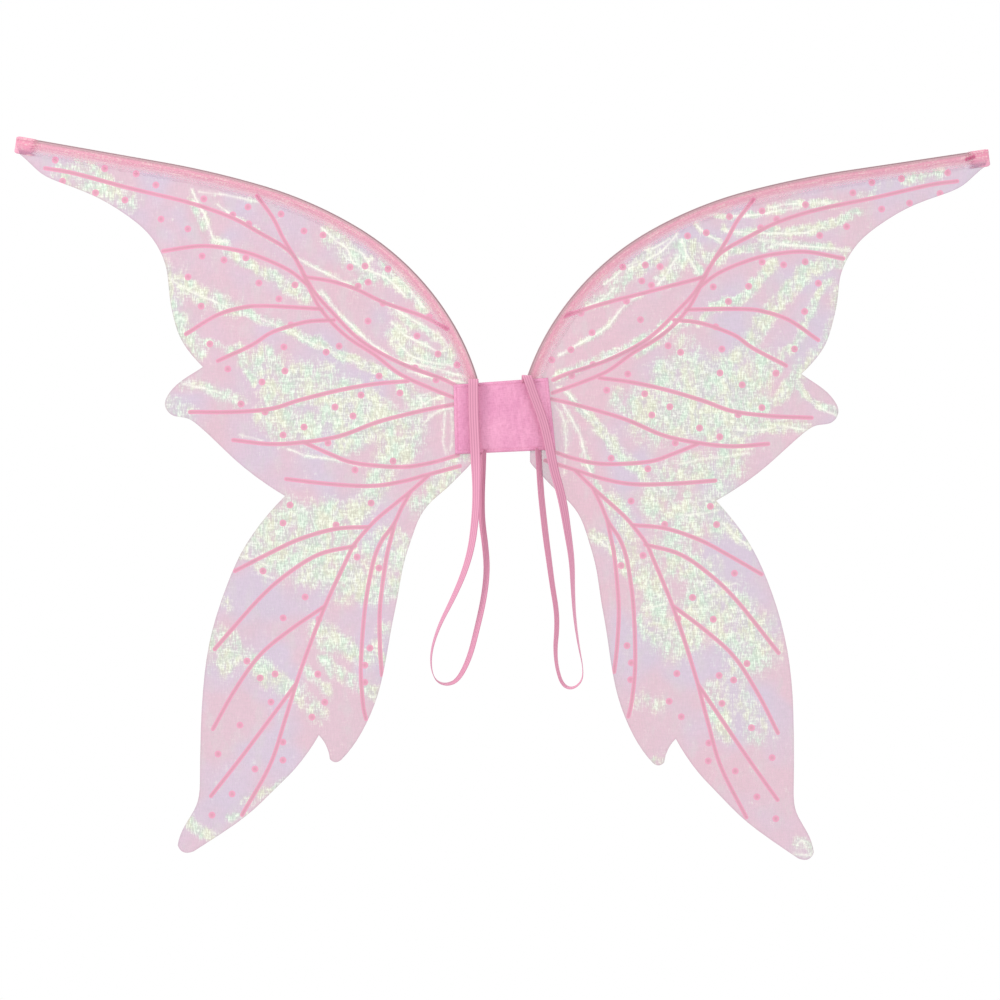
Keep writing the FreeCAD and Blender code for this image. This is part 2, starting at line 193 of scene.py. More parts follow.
# --- how the cloth hangs: x and z of places in the row frame, in mm
# Crinkled bands with painted glints: (half width, how strongly the painted glint shows, x, z, x, z, ...).
BANDS = {
    "left": [
        (8, 1, -342, 149, -327, 135, -307, 125, -287, 115, -270, 109),
        (4.5, 1, -270, 109, -240, 99, -217, 89, -202, 81, -177, 70, -157, 60, -132, 49, -104, 37),
        (9, 0.9, -336, 142, -330, 117), (8, 0.9, -322, 95, -314, 77, -306, 65),
        (5, 1, -274, 165, -257, 155, -240, 146, -217, 136, -202, 127, -190, 121),
        (8, 0.9, -217, 133, -197, 123), (4, 0.8, -307, 77, -287, 72, -270, 65),
        (5, 0.9, -262, 67, -257, 52, -247, 35), (14, 1, -240, 55, -222, 39, -227, 25),
        (14, 1, -212, 37, -182, 39, -172, 25), (16, 1, -227, -1, -202, -13, -172, -3, -147, 12, -127, 2),
        (13, 1, -157, -23, -132, -8, -108, -3, -92, -4), (12, 0.9, -202, 22, -157, 27, -137, 22),
        (12, 0.9, -117, -13, -107, -28, -117, -45, -122, -58), (8, 0.9, -97, 27, -87, 17, -77, 15),
        (6, 0.8, -318, 33, -297, 28, -277, 22, -262, 15), (9, 0.7, -330, 12, -317, 2),
        (10, 0.9, -122, -58, -130, -78, -137, -93, -157, -98), (12, 0.9, -107, -38, -97, -33, -87, -18),
        (15, 1, -237, -113, -212, -98, -182, -103, -152, -98),
        (16, 1, -252, -121, -217, -123, -182, -123, -152, -118),
        (15, 0.9, -232, -143, -202, -143, -172, -138, -147, -128), (15, 1, -192, -153, -162, -158, -144, -163),
        (10, 1, -157, -173, -137, -175, -117, -173, -102, -168), (13, 0.9, -117, -123, -102, -128, -100, -143),
        (12, 0.9, -132, -138, -127, -158), (4, 0.7, -262, -139, -240, -143, -227, -148),
        (12, 0.9, -77, -88, -62, -73, -47, -61), (5, 0.8, -52, -45, -37, -41),
        (13, 0.9, -287, -223, -270, -233, -277, -245), (9, 0.9, -257, -238, -240, -255, -222, -267, -210, -273),
        (8, 0.9, -210, -273, -197, -283, -182, -297), (10, 0.9, -182, -215, -167, -223, -150, -233, -137, -238),
        (6, 0.8, -177, -243, -162, -259, -142, -268, -127, -278), (5, 0.8, -197, -253, -184, -265, -174, -273),
        (7, 0.9, -124, -228, -120, -243), (6, 0.8, -120, -211, -110, -215),
        (5, 0.9, -217, -365, -242, -379, -257, -383), (5, 0.9, -312, -407, -297, -417, -284, -421),
        (4, 0.7, -272, -403, -257, -398), (5, 0.6, -280, -181, -274, -191),
        (9, 0.9, -440, 245, -417, 235, -397, 227, -372, 215), (6, 0.8, -422, 257, -410, 249),
        (6, 0.8, -402, 239, -384, 231), (9, 1, -172, 182, -157, 169, -144, 155, -137, 142),
        (6, 0.9, -137, 142, -112, 137, -92, 125, -77, 109), (7, 0.8, -117, 152, -102, 137),
        (9, 1, -104, 82, -97, 69, -82, 59, -62, 57, -52, 65), (4, 0.7, -112, 105, -92, 95, -70, 82, -57, 72),
        (4, 0.8, -312, 214, -297, 195, -290, 177, -277, 175),
    ],
    "right": [
        (4.5, 1, 223, 188, 243, 185, 268, 185, 293, 185, 313, 189, 343, 199, 356, 205),
        (3, 0.9, 198, 203, 228, 201, 258, 204, 283, 207), (4, 0.9, 270, 209, 288, 213, 313, 212, 333, 214),
        (4, 0.9, 260, 176, 288, 173, 313, 171, 343, 167), (8, 1, 188, 171, 178, 155, 163, 139),
        (6, 1, 174, 171, 193, 169, 203, 161, 218, 159), (5, 1, 180, 173, 186, 159, 194, 147),
        (4, 0.9, 220, 167, 233, 165, 248, 168, 263, 171),
        (5, 0.9, 270, 155, 263, 142, 253, 132, 240, 120, 226, 114, 213, 112),
        (7, 1, 313, 152, 298, 137, 286, 125, 276, 112, 263, 97, 253, 82, 243, 69, 230, 59, 220, 47),
        (4, 0.9, 328, 137, 318, 125, 310, 109, 301, 92, 295, 75, 283, 60, 278, 47),
        (6, 0.8, 348, 154, 328, 153, 313, 151), (8, 0.8, 340, 127, 334, 97, 326, 72, 310, 55, 298, 45),
        (4, 0.8, 198, 95, 210, 105), (5, 0.9, 186, 95, 168, 87, 153, 77, 138, 65),
        (9, 0.8, 183, 72, 178, 59, 168, 49), (20, 1, 198, 42, 228, 32, 243, 17),
        (14, 1, 163, 39, 188, 25, 238, 17, 263, 52), (14, 1, 138, 15, 163, 5, 198, 7, 233, 12),
        (16, 1, 148, -8, 188, -3, 228, -8, 248, 7), (10, 0.9, 118, 17, 133, 5),
        (6, 1, 99, -13, 110, -26, 118, -35, 127, -45, 136, -54, 148, -64, 160, -78, 178, -95),
        (15, 0.9, 188, -53, 213, -53, 233, -38, 233, -23), (16, 0.9, 168, -83, 188, -98, 213, -88, 218, -73),
        (13, 0.9, 163, -58, 153, -83, 163, -103), (6, 1, 243, -15, 263, -11, 283, -10, 303, -11),
        (5, 1, 263, 9, 278, 19, 288, 32, 293, 41), (3.5, 1, 295, 35, 303, 22, 318, 12, 336, 2),
        (4, 0.9, 220, -105, 233, -118, 248, -129), (16, 0.8, 178, -113, 203, -108, 216, -103),
        (18, 0.9, 178, -143, 198, -163, 198, -193, 178, -223),
        (16, 0.9, 228, -183, 248, -208, 258, -233, 238, -248),
        (14, 0.9, 148, -163, 153, -183, 148, -203, 168, -223), (13, 0.8, 213, -183, 228, -223, 233, -253),
        (9, 0.8, 210, -273, 216, -295, 223, -318), (12, 0.6, 233, -273, 243, -293, 258, -318),
        (5, 0.9, 90, -118, 103, -126, 116, -138, 123, -153),
        (8, 0.8, 110, -83, 120, -98, 123, -123, 130, -143, 138, -163),
        (10, 0.7, 150, -143, 158, -128, 170, -123), (4, 1, 72, 17, 78, 10, 86, 3, 94, -6, 102, -16),
        (3, 0.8, 82, -35, 86, -50, 91, -62, 99, -76), (5, 0.9, 296, -425, 306, -429, 310, -435),
        (4, 0.8, 153, -346, 165, -345), (9, 0.5, 138, -283, 158, -288), (7, 0.7, 403, 239, 423, 242, 438, 245),
        (5, 0.6, 358, 221, 378, 227), (6, 0.8, 88, 112, 103, 119, 118, 132, 138, 155, 153, 167),
        (4, 0.7, 138, 145, 158, 159, 170, 172), (4, 0.9, 53, 39, 83, 52, 113, 64, 148, 82, 178, 99),
    ],
}
# Sharp crease lines, raised in height and painted with a highlight line and a glint: (strength, x, z, x, z,
# ...).
CREASES = {
    "left": [
        (1, -284, 212, -270, 202, -257, 194, -240, 183, -222, 172, -210, 163),
        (1, -204, 159, -187, 149, -167, 140, -145, 128),
        (0.9, -310, 227, -304, 214, -296, 200, -291, 185, -287, 177, -274, 175),
        (0.7, -302, 225, -277, 222, -252, 217, -240, 214),
        (0.9, -180, 189, -167, 177, -154, 167, -149, 155, -134, 147, -117, 140, -107, 132, -97, 121),
        (0.8, -152, 169, -140, 164, -134, 155, -130, 159),
        (0.9, -112, 155, -104, 145, -97, 134, -90, 125, -78, 109),
        (0.9, -122, 117, -102, 105, -82, 93, -64, 83, -54, 72),
        (0.9, -110, 95, -97, 82, -77, 72, -62, 65, -56, 70), (0.9, -104, 75, -92, 62, -72, 55, -47, 51),
        (1, -100, 55, -77, 51, -54, 45, -32, 39), (0.9, -94, 46, -70, 40, -47, 36, -32, 33),
        (1, -180, 125, -170, 112, -154, 95, -137, 79, -117, 64, -100, 53),
        (0.8, -84, 21, -78, 13, -72, 17, -60, 21), (0.7, -77, -5, -64, 5, -50, 9),
        (0.8, -214, -32, -197, -38, -180, -41), (0.7, -177, -41, -157, -45, -144, -49),
        (0.6, -262, -18, -240, -23), (0.9, -262, -139, -247, -143, -234, -149), (0.6, -244, -155, -230, -161),
        (0.5, -58, 15, -57, -3, -59, -23, -56, -38), (0.4, -52, 12, -50, -13, -52, -33),
        (0.8, -337, 141, -312, 126, -287, 115, -270, 107),
        (0.6, -240, 98, -217, 88, -197, 77, -172, 66, -142, 53), (0.7, -318, 33, -297, 28, -277, 22, -262, 14),
    ],
    "right": [
        (1, 58, 62, 82, 76, 105, 90, 116, 104, 129, 117, 142, 123), (0.9, 85, 111, 96, 115, 107, 124, 111, 128),
        (1, 127, 148, 145, 157, 162, 168, 175, 183), (0.9, 142, 167, 154, 170, 167, 178),
        (0.9, 102, 133, 111, 139, 122, 149, 134, 155), (1, 194, 193, 202, 184, 216, 177, 229, 168),
        (0.9, 180, 177, 185, 162, 191, 152, 197, 142), (0.9, 174, 159, 165, 144, 156, 133),
        (1, 51, 37, 82, 50, 111, 61, 145, 77, 162, 86, 180, 95), (1, 56, 30, 66, 24, 78, 10, 86, 3),
        (1, 60, 14, 66, 4, 73, -8, 79, -21, 82, -35, 86, -50, 91, -60),
        (0.6, 53, 12, 60, 2, 63, -13, 64, -30, 62, -56), (0.7, 178, -47, 203, -42, 228, -39, 246, -36),
        (0.6, 178, -98, 198, -97, 218, -93), (0.8, 143, -192, 163, -187),
        (0.7, 203, -175, 223, -170, 233, -166), (0.8, 198, 204, 238, 201, 278, 206, 303, 211),
        (0.9, 223, 186, 258, 184, 298, 184, 313, 188), (0.8, 258, 177, 288, 172, 328, 169, 348, 166),
        (0.9, 295, 35, 306, 19, 323, 7, 336, 1), (0.8, 233, -13, 258, -13, 283, -10, 304, -13),
        (0.8, 88, -117, 102, -127, 113, -135), (0.9, 291, -437, 310, -438),
        (0.9, 295, -428, 300, -423, 304, -431), (0.7, 268, 209, 288, 213, 328, 214),
        (0.8, 220, -105, 233, -119, 250, -131),
    ],
}


# === small helpers
def link(obj):
    scene.collection.objects.link(obj)
    return obj


def mesh_object(name, vertices, faces, *materials):
    """A linked, smooth-shaded mesh object from vertices in metres."""
    mesh = bpy.data.meshes.new(name)
    mesh.from_pydata([tuple(v) for v in vertices], [], [tuple(f) for f in faces])
    mesh.update()
    mesh.polygons.foreach_set("use_smooth", [True] * len(mesh.polygons))
    for material in materials:
        mesh.materials.append(MATERIALS[material])
    return link(bpy.data.objects.new(name, mesh))


def point_attributes(obj, **columns):
    """Named values at a mesh's points, for its material to read."""
    for name, values in columns.items():
        attribute = obj.data.attributes.new(name, "FLOAT", "POINT")
        attribute.data.foreach_set("value", np.asarray(values, dtype=np.float32))


def unit(vectors):
    return vectors / np.linalg.norm(vectors, axis=-1, keepdims=True)


def smoothstep(low, high, value):
    t = np.clip((np.asarray(value, float) - low) / (high - low), 0, 1)
    return t * t * (3 - 2 * t)


def wave(x, y, z):
    """Smooth noise from -1 to 1 at one place."""
    return noise.noise(Vector((x, y, z)))


def noise_at(x, z, scale_x, scale_z, seed):
    """Smooth noise from -1 to 1 for arrays of places; scales are the size of a feature."""
    return np.array([wave(a / scale_x, seed * SEED_STEP, b / scale_z) for a, b in zip(x, z)])


def heading_vector(degrees):
    angle = math.radians(degrees)
    return np.array([math.sin(angle), math.cos(angle)])


def inward_vector(degrees):
    return heading_vector(degrees + 90)


def place_print(side, points):
    """Pattern places (outboard, up) to the row frame's (x, z), in mm, where a wing's print lies."""
    offset = np.asarray(points, float) - (HINGE_U, HINGE_TOP)
    up, outboard = heading_vector(DROOP[side]), inward_vector(DROOP[side])
    placed = np.outer(offset[:, 1], up) + np.outer(offset[:, 0], outboard) + (HINGE_U, HINGE_TOP)
    placed[:, 0] *= SIDES[side]
    x, z = placed.T.copy()
    for axis, (start, per_x, per_z) in enumerate(PRINT_SHIFT[side]):
        placed[:, axis] += start + per_x * x + per_z * z
    return placed


def travelled_along(points):
    """Distance along a line of points, at each of them."""
    gaps = np.linalg.norm(np.diff(points, axis=0), axis=1)
    return np.concatenate([[0], np.cumsum(gaps)])


def curve_through(points, step):
    """Catmull-Rom curve through 2-D points, or a flat row of their numbers, sampled about every step."""
    points = np.reshape(points, (-1, 2)).astype(float)
    padded = np.vstack([2 * points[0] - points[1], points, 2 * points[-1] - points[-2]])
    samples = []
    for a, b, c, d in zip(padded, padded[1:], padded[2:], padded[3:]):
        count = max(2, int(np.linalg.norm(c - b) / step))
        for t in np.arange(count) / count:
            samples.append(0.5 * (2 * b + (c - a) * t + (2 * a - 5 * b + 4 * c - d) * t ** 2
                                  + (3 * b - a - 3 * c + d) * t ** 3))
    samples.append(points[-1])
    return np.array(samples)


def line_distance(points, line, reach):
    """Distance from each 2-D point to a line of points; beyond reach it is only larger than reach."""
    best = np.full(len(points), FAR)
    low, high = line.min(0) - reach, line.max(0) + reach
    near = np.where(np.all((points > low) & (points < high), axis=1))[0]
    close = points[near]
    for a, b in zip(line, line[1:]):
        along = b - a
        t = np.clip((close - a) @ along / (along @ along), 0, 1)
        gap = np.linalg.norm(close - a - t[:, None] * along, axis=1)
        best[near] = np.minimum(best[near], gap)
    return best


def lines_distance(points, lines, reach):
    """Distance from each 2-D point to the nearest of several lines."""
    return np.min([line_distance(points, line, reach) for line in lines], axis=0)


def inside_outline(points, outline):
    """Which 2-D points lie inside a closed outline."""
    inside = np.zeros(len(points), bool)
    x, y = points[:, 0], points[:, 1]
    for a, b in zip(outline, np.roll(outline, -1, axis=0)):
        crosses = (a[1] > y) != (b[1] > y)
        if a[1] != b[1]:
            inside ^= crosses & (x < (b[0] - a[0]) * (y - a[1]) / (b[1] - a[1]) + a[0])
    return inside


def grid_faces(rows, columns, closed=False):
    """Quads of a grid of rows x columns vertices; closed joins the last column to the first."""
    faces = []
    for i in range(0, (rows - 1) * columns, columns):
        for j in range(columns if closed else columns - 1):
            m = (j + 1) % columns
            faces.append((i + j, i + m, i + columns + m, i + columns + j))
    return faces


def tube_faces(rows, columns):
    """Faces of a tube of rows x columns vertices, with both ends closed."""
    last = (rows - 1) * columns
    ends = [tuple(reversed(range(columns))), tuple(range(last, last + columns))]
    return grid_faces(rows, columns, closed=True) + ends


# === materials
def srgb(*values):
    """An 0-255 screen colour as linear light, with alpha 1."""
    linear = []
    for value in values:
        c = value / 255
        linear.append(c / 12.92 if c <= 0.04045 else ((c + 0.055) / 1.055) ** 2.4)
    return (*linear, 1.0)


class Shader:
    """A node material and short ways to add to it. Colours are 0-255 screen values."""

    def __init__(self, name, **constants):
        self.material = bpy.data.materials.new(name)
        self.material.use_nodes = True
        self.tree = self.material.node_tree
        self.surface = self.tree.nodes["Principled BSDF"]
        for socket, value in constants.items():
            self.set(socket.replace("_", " "), value)
        self.places = self.add("TexCoord").outputs["Object"]

    def add(self, kind):
        return self.tree.nodes.new("ShaderNode" + kind)

    def wire(self, value, socket):
        if isinstance(value, bpy.types.NodeSocket):
            self.tree.links.new(value, socket)
        else:
            socket.default_value = srgb(*value) if isinstance(value, tuple) else value

    def set(self, socket, value):
        self.wire(value, self.surface.inputs[socket])

    def attribute(self, name):
        node = self.add("Attribute")
        node.attribute_name = name
        return node.outputs["Fac"]

    def noise(self, scale, stretch=(1, 1, 1), detail=2.0, roughness=0.5, places=None):
        mapping = self.add("Mapping")
        mapping.inputs["Scale"].default_value = stretch
        self.wire(places or self.places, mapping.inputs["Vector"])
        node = self.add("TexNoise")
        node.inputs["Scale"].default_value = scale
        node.inputs["Detail"].default_value = detail
        node.inputs["Roughness"].default_value = roughness
        self.wire(mapping.outputs["Vector"], node.inputs["Vector"])
        return node.outputs["Fac"]

    def math(self, operation, a, b=0.0, c=0.0):
        node = self.add("Math")
        node.operation = operation
        for value, socket in zip((a, b, c), node.inputs):
            self.wire(value, socket)
        return node.outputs["Value"]

    def times(self, a, b):
        return self.math("MULTIPLY", a, b)

    def scaled(self, value, scale, start):
        """value * scale + start."""
        return self.math("MULTIPLY_ADD", value, scale, start)

    def mix(self, share, a, b, blend="MIX"):
        node = self.add("Mix")
        node.data_type = "RGBA"
        node.blend_type = blend
        self.wire(share, node.inputs[0])
        self.wire(a, node.inputs[6])
        self.wire(b, node.inputs[7])
        return node.outputs[2]

    def tint(self, color, share, strength, target):
        """The colour moved towards a target by share times strength."""
        return self.mix(self.times(share, strength), color, target)

    def ramp(self, value, low, high):
        """0 at low and 1 at high, smoothly; low may be the larger."""
        node = self.add("MapRange")
        node.interpolation_type = "SMOOTHSTEP"
        node.inputs["From Min"].default_value = low
        node.inputs["From Max"].default_value = high
        self.wire(value, node.inputs["Value"])
        return node.outputs["Result"]

    def sine(self, value, waves):
        """A sine from 0 to 1 with so many waves per unit of value."""
        return self.scaled(self.math("SINE", self.times(value, waves * 2 * math.pi)), 0.5, 0.5)

    def finish(self, color, roughness, height=None, strength=1.0, distance=0.001):
        """Wire up the surface, with a bump where a height is given."""
        self.set("Base Color", color)
        self.set("Roughness", roughness)
        if height is not None:
            node = self.add("Bump")
            node.inputs["Strength"].default_value = strength
            node.inputs["Distance"].default_value = distance
            self.wire(height, node.inputs["Height"])
            self.set("Normal", node.outputs["Normal"])
        return self.material


def organza(name, inked):
    """Sheer two-tone organza: pink to lilac, with painted mint and cream glints, painted highlights, where it
    is crinkled.
    """
    mat = Shader(name, IOR=1.45, Sheen_Weight=0.2, Sheen_Roughness=0.35, Sheen_Tint=(255, 236, 246),
                    Thin_Film_Thickness=420.0, Thin_Film_IOR=1.6, Coat_Weight=0.08, Coat_Roughness=0.3)
    edge = mat.attribute("edge")
    threads = mat.noise(1.0, (900, 900, 170), roughness=0.7)
    crossing = mat.noise(1.0, (150, 150, 700))
    grain = mat.scaled(crossing, 0.35, mat.times(threads, 0.65))
    sparkle = mat.ramp(grain, 0.34, 0.66)
    crinkle = mat.noise(125, (1.0, 1.0, 0.55), 4.0, 0.65)

    # Painted glint mask: the glint attribute, roughened by the crinkle and grain noise.
    ragged = mat.scaled(mat.math("SUBTRACT", crinkle, 0.5), 1.05, mat.attribute("glint"))
    ragged = mat.scaled(mat.math("SUBTRACT", grain, 0.5), 1.2, ragged)
    flash = mat.ramp(ragged, 0.10, 0.90)

    cloth = mat.mix(mat.ramp(mat.noise(15), 0.40, 0.60), (202, 130, 166), (184, 142, 186))
    cloth = mat.mix(mat.attribute("pink"), cloth, (208, 124, 162))
    mottle = mat.ramp(mat.noise(80, (1.0, 1.0, 0.5), 3.0), 0.48, 0.72)
    cloth = mat.tint(cloth, mottle, 0.40, (188, 166, 176))
    # Painted glint colour, mint to cream and duller where the crinkle noise is low, laid over the cloth by the
    # glint mask.
    hue = mat.ramp(mat.noise(60, (1.0, 1.0, 0.6), 3.0), 0.40, 0.60)
    glint_color = mat.mix(hue, (198, 226, 200), (226, 224, 190))
    glint_color = mat.mix(mat.ramp(crinkle, 0.58, 0.36), glint_color, (204, 196, 198))
    color = mat.tint(cloth, flash, 0.95, glint_color)

    # Weave grain darkens the colour in specks, and more strongly inside the painted glints.
    shade = mat.mix(sparkle, (190, 184, 190), (255, 255, 255))
    shaded = mat.mix(1.0, color, shade, "MULTIPLY")
    color = mat.mix(mat.scaled(flash, 0.45, 0.35), color, shaded)
    # Painted highlight specks inside the painted glints.
    lit = mat.times(mat.ramp(grain, 0.47, 0.64), flash)
    color = mat.tint(color, lit, 0.6, (246, 252, 236))
    # Painted highlight along the crease lines.
    color = mat.tint(color, mat.attribute("crease"), mat.scaled(sparkle, 0.3, 0.75), (250, 246, 232))
    color = mat.tint(color, edge, 0.5, (176, 140, 160))
    alpha = mat.scaled(edge, 0.15, mat.scaled(flash, 0.10, 0.60))
    if inked:
        printed = mat.mix(mat.ramp(mat.attribute("ink"), 0.15, 0.9), (198, 102, 140), (224, 122, 168))
        printed = mat.tint(printed, sparkle, 0.3, (230, 142, 180))
        # Painted light on the print: inside the painted glints it turns greyish rose.
        color = mat.tint(printed, flash, 0.2, (200, 132, 146))
        alpha = mat.scaled(threads, 0.16, 0.74)
    else:
        alpha = mat.times(alpha, mat.scaled(mat.attribute("under_hem"), -0.9, 1.0))
    mat.set("Alpha", alpha)
    weave = mat.scaled(crossing, 0.6, threads)
    return mat.finish(color, mat.scaled(crinkle, 0.28, 0.24), weave, 0.3, 0.0004)


def hem_cloth(name, near_wire, at_edge, wire_line):
    """Doubled, stitched organza of the hem and the tip patches: pink with streaks along its length."""
    mat = Shader(name, IOR=1.45, Sheen_Weight=0.3, Sheen_Roughness=0.4, Sheen_Tint=(255, 232, 242))
    across = mat.attribute("across")
    threads = mat.noise(640, detail=3.0, roughness=0.7)
    place = mat.add("CombineXYZ")
    mat.wire(mat.times(mat.attribute("along"), 42.0), place.inputs[0])
    mat.wire(mat.times(across, 800.0), place.inputs[1])
    streak = mat.noise(1.0, detail=3.0, places=place.outputs[0])
    outward = mat.ramp(across, 0.003, 0.0150)
    color = mat.mix(outward, near_wire, at_edge)
    color = mat.tint(color, mat.ramp(streak, 0.42, 0.62), 0.45, (216, 142, 166))
    weave = mat.scaled(threads, 0.6, mat.times(streak, 0.6))
    color = mat.tint(color, mat.ramp(weave, 0.58, 0.74), 0.6, (238, 218, 212))
    color = mat.tint(color, mat.ramp(weave, 0.54, 0.42), 0.3, (188, 150, 158))
    if wire_line:
        color = mat.tint(color, mat.ramp(across, 0.0024, 0.0006), 0.7, (196, 166, 170))
        offset = mat.math("ABSOLUTE", mat.math("ADD", across, 0.0007))
        color = mat.tint(color, mat.ramp(offset, 0.0009, 0.0002), 0.75, (122, 98, 104))
        alpha = mat.scaled(outward, -0.80, 0.90)
    else:
        ragged = mat.scaled(streak, 0.9, mat.attribute("fade"))
        alpha = mat.times(mat.ramp(ragged, 0.55, 1.15), 0.95)
    mat.set("Alpha", alpha)
    return mat.finish(color, mat.scaled(streak, 0.3, 0.35), mat.scaled(threads, 0.5, streak), 0.5, 0.0005)


def satin(name):
    """Pink satin of the panel: fine weave, soft sheen, a little colour variation and a painted shadow at its
    outer rim.
    """
    mat = Shader(name, IOR=1.45, Sheen_Weight=0.5, Sheen_Roughness=0.45, Sheen_Tint=(255, 214, 236),
                    Coat_Weight=0.06, Coat_Roughness=0.4, Anisotropic=0.4)
    warp = mat.noise(1.0, (1300, 1300, 260))
    weft = mat.noise(1.0, (200, 200, 1200))
    weave = mat.times(mat.math("ADD", warp, weft), 0.5)
    drift = mat.ramp(mat.noise(42, (1.0, 1.0, 0.6), 3.0), 0.35, 0.65)
    color = mat.mix(drift, (222, 148, 184), (232, 162, 194))
    shade = mat.mix(mat.ramp(weave, 0.34, 0.62), (228, 210, 220), (255, 255, 255))
    color = mat.mix(0.7, color, shade, "MULTIPLY")
    rim = mat.attribute("rim")
    seam_gap = mat.math("ABSOLUTE", mat.math("SUBTRACT", rim, 0.2))
    color = mat.tint(color, mat.ramp(seam_gap, 0.2, 0.02), 0.22, (196, 104, 142))
    # Painted shadow along the rolled rim at the outer edge.
    color = mat.tint(color, mat.ramp(rim, 0.72, 1.0), 0.35, (190, 108, 140))
    return mat.finish(color, mat.scaled(weave, 0.25, 0.42), weave, 0.45, 0.0004)


def elastic(name):
    """Ribbed pink elastic: long ribs and fine cross threads, with painted shade in the grooves between the ribs
    and along both borders.
    """
    mat = Shader(name, IOR=1.45, Sheen_Weight=0.3, Sheen_Roughness=0.5, Sheen_Tint=(255, 214, 230))
    across = mat.attribute("across")
    fuzz = mat.noise(900, detail=3.0)
    # Painted shade: darker in the grooves between the ribs.
    groove = mat.ramp(mat.sine(across, STRAP_RIBS / 2), 0.1, 0.8)
    color = mat.mix(groove, (192, 122, 152), (218, 150, 176))
    color = mat.tint(color, fuzz, 0.4, (222, 158, 180))
    # Painted shade along both borders of the band.
    border = mat.ramp(mat.math("ABSOLUTE", across), 0.80, 1.0)
    color = mat.tint(color, border, 0.4, (186, 108, 140))
    cross = mat.times(mat.sine(mat.attribute("along"), 1100.0), 0.5)
    return mat.finish(color, mat.scaled(fuzz, 0.25, 0.5), mat.scaled(fuzz, 0.7, cross), 0.3, 0.0002)


def thread(name, color_a, color_b):
    """Twisted sewing thread."""
    mat = Shader(name, Sheen_Weight=0.4)
    twist = mat.noise(2600)
    return mat.finish(mat.mix(twist, color_a, color_b), mat.scaled(twist, 0.3, 0.45), twist, 0.4, 0.0001)


def spring_steel(name):
    mat = Shader(name, Metallic=1.0)
    drawn = mat.noise(1.0, (900, 900, 120), 3.0)
    color = mat.mix(drawn, (150, 146, 148), (206, 202, 204))
    return mat.finish(color, mat.scaled(drawn, 0.25, 0.25), drawn, 0.2, 0.0001)


def moulded_plastic(name, color_a, color_b, roughness):
    mat = Shader(name, IOR=1.49)
    pits = mat.noise(2400)
    color = mat.mix(mat.noise(160, detail=3.0), color_a, color_b)
    return mat.finish(color, mat.scaled(pits, 0.2, roughness), pits, 0.15, 0.0001)


def floor_paint(name):
    mat = Shader(name)
    mottle = mat.noise(3.0)
    return mat.finish(mat.mix(mottle, (238, 238, 238), (244, 244, 244)), mat.scaled(mottle, 0.1, 0.6))


# === camera, light, floor
def make_camera():
    """Square on to the wearer's side, framing one metre at the wings' plane."""
    data = bpy.data.cameras.new("camera")
    data.lens = 85
    data.sensor_width = 36
    camera = link(bpy.data.objects.new("camera", data))
    framed_width = 1.0
    distance = framed_width * data.lens / data.sensor_width
    camera.location = (-0.002, HINGE_Y * MM - distance, -0.083)
    camera.rotation_euler = (math.radians(90), 0, 0)
    scene.camera = camera


def area_light(name, place, size, power):
    """A round lamp that looks at the wings' middle."""
    data = bpy.data.lights.new(name, "AREA")
    data.shape = "DISK"
    data.size = size
    data.energy = power
    lamp = link(bpy.data.objects.new(name, data))
    lamp.location = place
    lamp.rotation_euler = (WINGS_MIDDLE - Vector(place)).to_track_quat("-Z", "Y").to_euler()


def make_studio():
    world = bpy.data.worlds.new("studio")
    world.use_nodes = True
    background = world.node_tree.nodes["Background"]
    background.inputs["Color"].default_value = (1.0, 1.0, 1.0, 1.0)
    background.inputs["Strength"].default_value = 1.0
    scene.world = world
    scene.view_settings.view_transform = "Standard"
    scene.cycles.transparent_max_bounces = 24
    area_light("key", (-1.9, -1.0, 1.3), 0.7, 26)
    area_light("fill", (1.9, -1.7, 0.2), 1.4, 5)
    area_light("back", (0.3, 2.2, 1.6), 1.6, 8)

    half = 1.2
    level = cad_low.z - FLOOR_DROP
    corners = [(-half, -half, level), (half, -half, level), (half, half, level), (-half, half, level)]
    mesh_object("floor", corners, [(0, 1, 2, 3)], "floor")


# === arm loops
def route_points(name, route):
    """The smooth line of a route: points of a NURBS spline with the route as its control points."""
    curve = bpy.data.curves.new(name + "_line", "CURVE")
    curve.dimensions = "3D"
    curve.resolution_u = 16
    spline = curve.splines.new("NURBS")
    spline.points.add(len(route) - 1)
    for control, place in zip(spline.points, route):
        control.co = (*place, 1.0)
    spline.order_u = 3
    spline.use_endpoint_u = True
    carrier = link(bpy.data.objects.new(name + "_line", curve))
    bpy.context.view_layer.update()
    mesh = bpy.data.meshes.new_from_object(carrier)
    points = np.array([v.co[:] for v in mesh.vertices])
    bpy.data.objects.remove(carrier)
    bpy.data.curves.remove(curve)
    bpy.data.meshes.remove(mesh)
    return points


def even_steps(points, step):
    """The same line with points about every step, and the distance along it at each."""
    places = travelled_along(points)
    wanted = np.linspace(0, places[-1], int(places[-1] / step) + 1)
    return np.stack([np.interp(wanted, places, column) for column in points.T], axis=1), wanted


